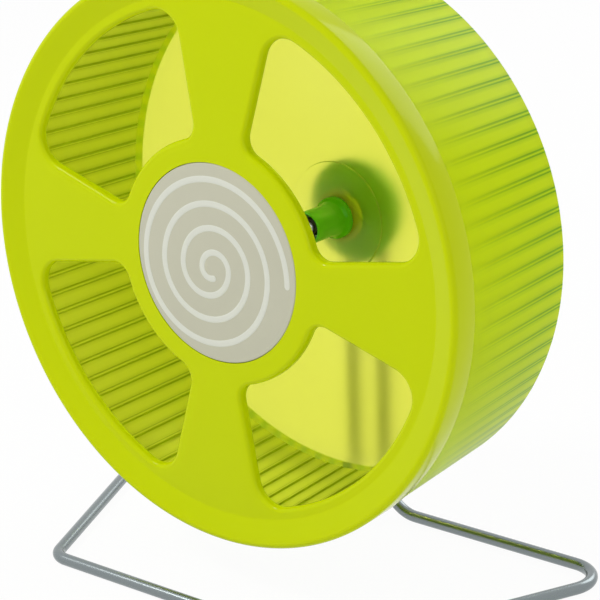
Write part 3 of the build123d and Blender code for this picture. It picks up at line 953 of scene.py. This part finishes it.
def area_lamp(name, place, aim, size, power, tint):
    """A square soft lamp at a place, turned so that it faces the aim."""
    lamp = bpy.data.lights.new(name, "AREA")
    lamp.shape = "SQUARE"
    lamp.size = size
    lamp.energy = power
    lamp.color = tint
    made = bpy.data.objects.new(name, lamp)
    back = np.array(place, float) - np.array(aim, float)
    back /= np.linalg.norm(back)
    right = np.cross([0, 0, 1], back)
    right /= np.linalg.norm(right)
    up = np.cross(back, right)
    turn = np.eye(4)
    turn[:3, 0], turn[:3, 1], turn[:3, 2], turn[:3, 3] = right, up, back, place
    made.matrix_world = Matrix(turn.tolist())
    bpy.context.scene.collection.objects.link(made)
    return made


class WHEEL_OT_stage(bpy.types.Operator):
    """Lay the floor, set the lamps and place the camera"""

    bl_idname = "wheel.stage"
    bl_label = "Floor, light and camera"

    def execute(self, context):
        scene = context.scene
        colours = scene.wheel_colours
        side, floor_glow, fill_strength = 4.0, 0.955, 0.55
        mesh = bpy.data.meshes.new("floor")
        mesh.from_pydata(
            [(-side, -side, 0), (side, -side, 0), (side, side, 0), (-side, side, 0)],
            [], [(0, 1, 2, 3)],
        )
        floor = bpy.data.objects.new("floor", mesh)
        scene.collection.objects.link(floor)
        material, tree, out = blank("pale matt paper")
        base = node(tree, "ShaderNodeBsdfDiffuse", None,
                    {"Color": tuple(colours.floor) + (1.0,)})
        tree.links.new(white_to_camera(tree, base.outputs[0], 1.0, floor_glow), out.inputs[0])
        mesh.materials.append(material)

        world = bpy.data.worlds.new("studio")
        world.use_nodes = True
        tree = world.node_tree
        tree.nodes.clear()
        out = node(tree, "ShaderNodeOutputWorld")
        fill = node(tree, "ShaderNodeBackground", None,
                    {"Color": (1, 1, 1, 1), "Strength": fill_strength})
        tree.links.new(white_to_camera(tree, fill.outputs[0], 1.0, 1.0), out.inputs[0])
        scene.world = world

        # Size in metres and power in watts.
        aim = (0, 0, 0.16)
        area_lamp("key", (-0.9, -0.9, 1.5), aim, 0.4, 14.0, (1.0, 0.99, 0.97))
        area_lamp("fill", (1.4, -1.0, 0.7), aim, 1.2, 4.0, (0.98, 0.99, 1.0))
        area_lamp("back", (0.3, 1.5, 1.1), aim, 1.0, 8.0, (1.0, 1.0, 1.0))

        # The camera as solved from the photograph: three angles, a shift and a focal length.
        turn, rise, roll = math.radians(39.53), math.radians(18.71), math.radians(1.48)
        ahead = np.array([-math.sin(turn) * math.cos(rise), math.cos(turn) * math.cos(rise),
                          -math.sin(rise)])
        level = np.cross(ahead, [0, 0, 1])
        level /= np.linalg.norm(level)
        down = np.cross(ahead, level)
        right = level * math.cos(roll) + down * math.sin(roll)
        down = down * math.cos(roll) - level * math.sin(roll)
        rows = np.stack([right, down, ahead])
        shift = mm(-39.578, -16.912, 1158.936)
        focal_pixels, image_pixels, sensor = 2483.458, 600, 36
        place = np.array([0, FRONT_Y, AXLE_Z]) - rows.T @ shift
        pose = np.eye(4)
        pose[:3, 0], pose[:3, 1], pose[:3, 2], pose[:3, 3] = right, -down, -ahead, place
        data = bpy.data.cameras.new("camera")
        data.sensor_fit = "HORIZONTAL"
        data.sensor_width = sensor
        data.lens = focal_pixels / image_pixels * sensor
        data.clip_end = 50
        camera = bpy.data.objects.new("camera", data)
        camera.matrix_world = Matrix(pose.tolist())
        scene.collection.objects.link(camera)
        scene.camera = camera
        scene.view_settings.view_transform = "Standard"
        return {"FINISHED"}


class WHEEL_PT_panel(bpy.types.Panel):
    """The wheel's sizes, colours and build steps"""

    bl_idname = "WHEEL_PT_panel"
    bl_label = "Exercise wheel"
    bl_space_type = "VIEW_3D"
    bl_region_type = "UI"
    bl_category = "Wheel"

    def draw(self, context):
        layout = self.layout
        scene = context.scene
        for group in (scene.wheel_sizes, scene.wheel_colours):
            column = layout.column(align=True)
            for name in group.__annotations__:
                column.prop(group, name)
        for step in STEPS:
            layout.operator(step.bl_idname)


STEPS = (
    WHEEL_OT_front_ring,
    WHEEL_OT_centre_disc,
    WHEEL_OT_drum,
    WHEEL_OT_hub,
    WHEEL_OT_stand,
    WHEEL_OT_stage,
)
CLASSES = (WheelSizes, WheelColours) + STEPS + (WHEEL_PT_panel,)


def register():
    """Adds the classes and the two property groups."""
    for made in CLASSES:
        bpy.utils.register_class(made)
    bpy.types.Scene.wheel_sizes = bpy.props.PointerProperty(type=WheelSizes)
    bpy.types.Scene.wheel_colours = bpy.props.PointerProperty(type=WheelColours)


def unregister():
    """Takes them away again."""
    del bpy.types.Scene.wheel_colours
    del bpy.types.Scene.wheel_sizes
    for made in reversed(CLASSES):
        bpy.utils.unregister_class(made)


def main():
    """Builds every piece and the stage."""
    register()
    bpy.ops.wheel.front_ring()
    bpy.ops.wheel.centre_disc()
    bpy.ops.wheel.drum()
    bpy.ops.wheel.hub()
    bpy.ops.wheel.stand()
    bpy.ops.wheel.stage()


if __name__ == "__main__":
    main()
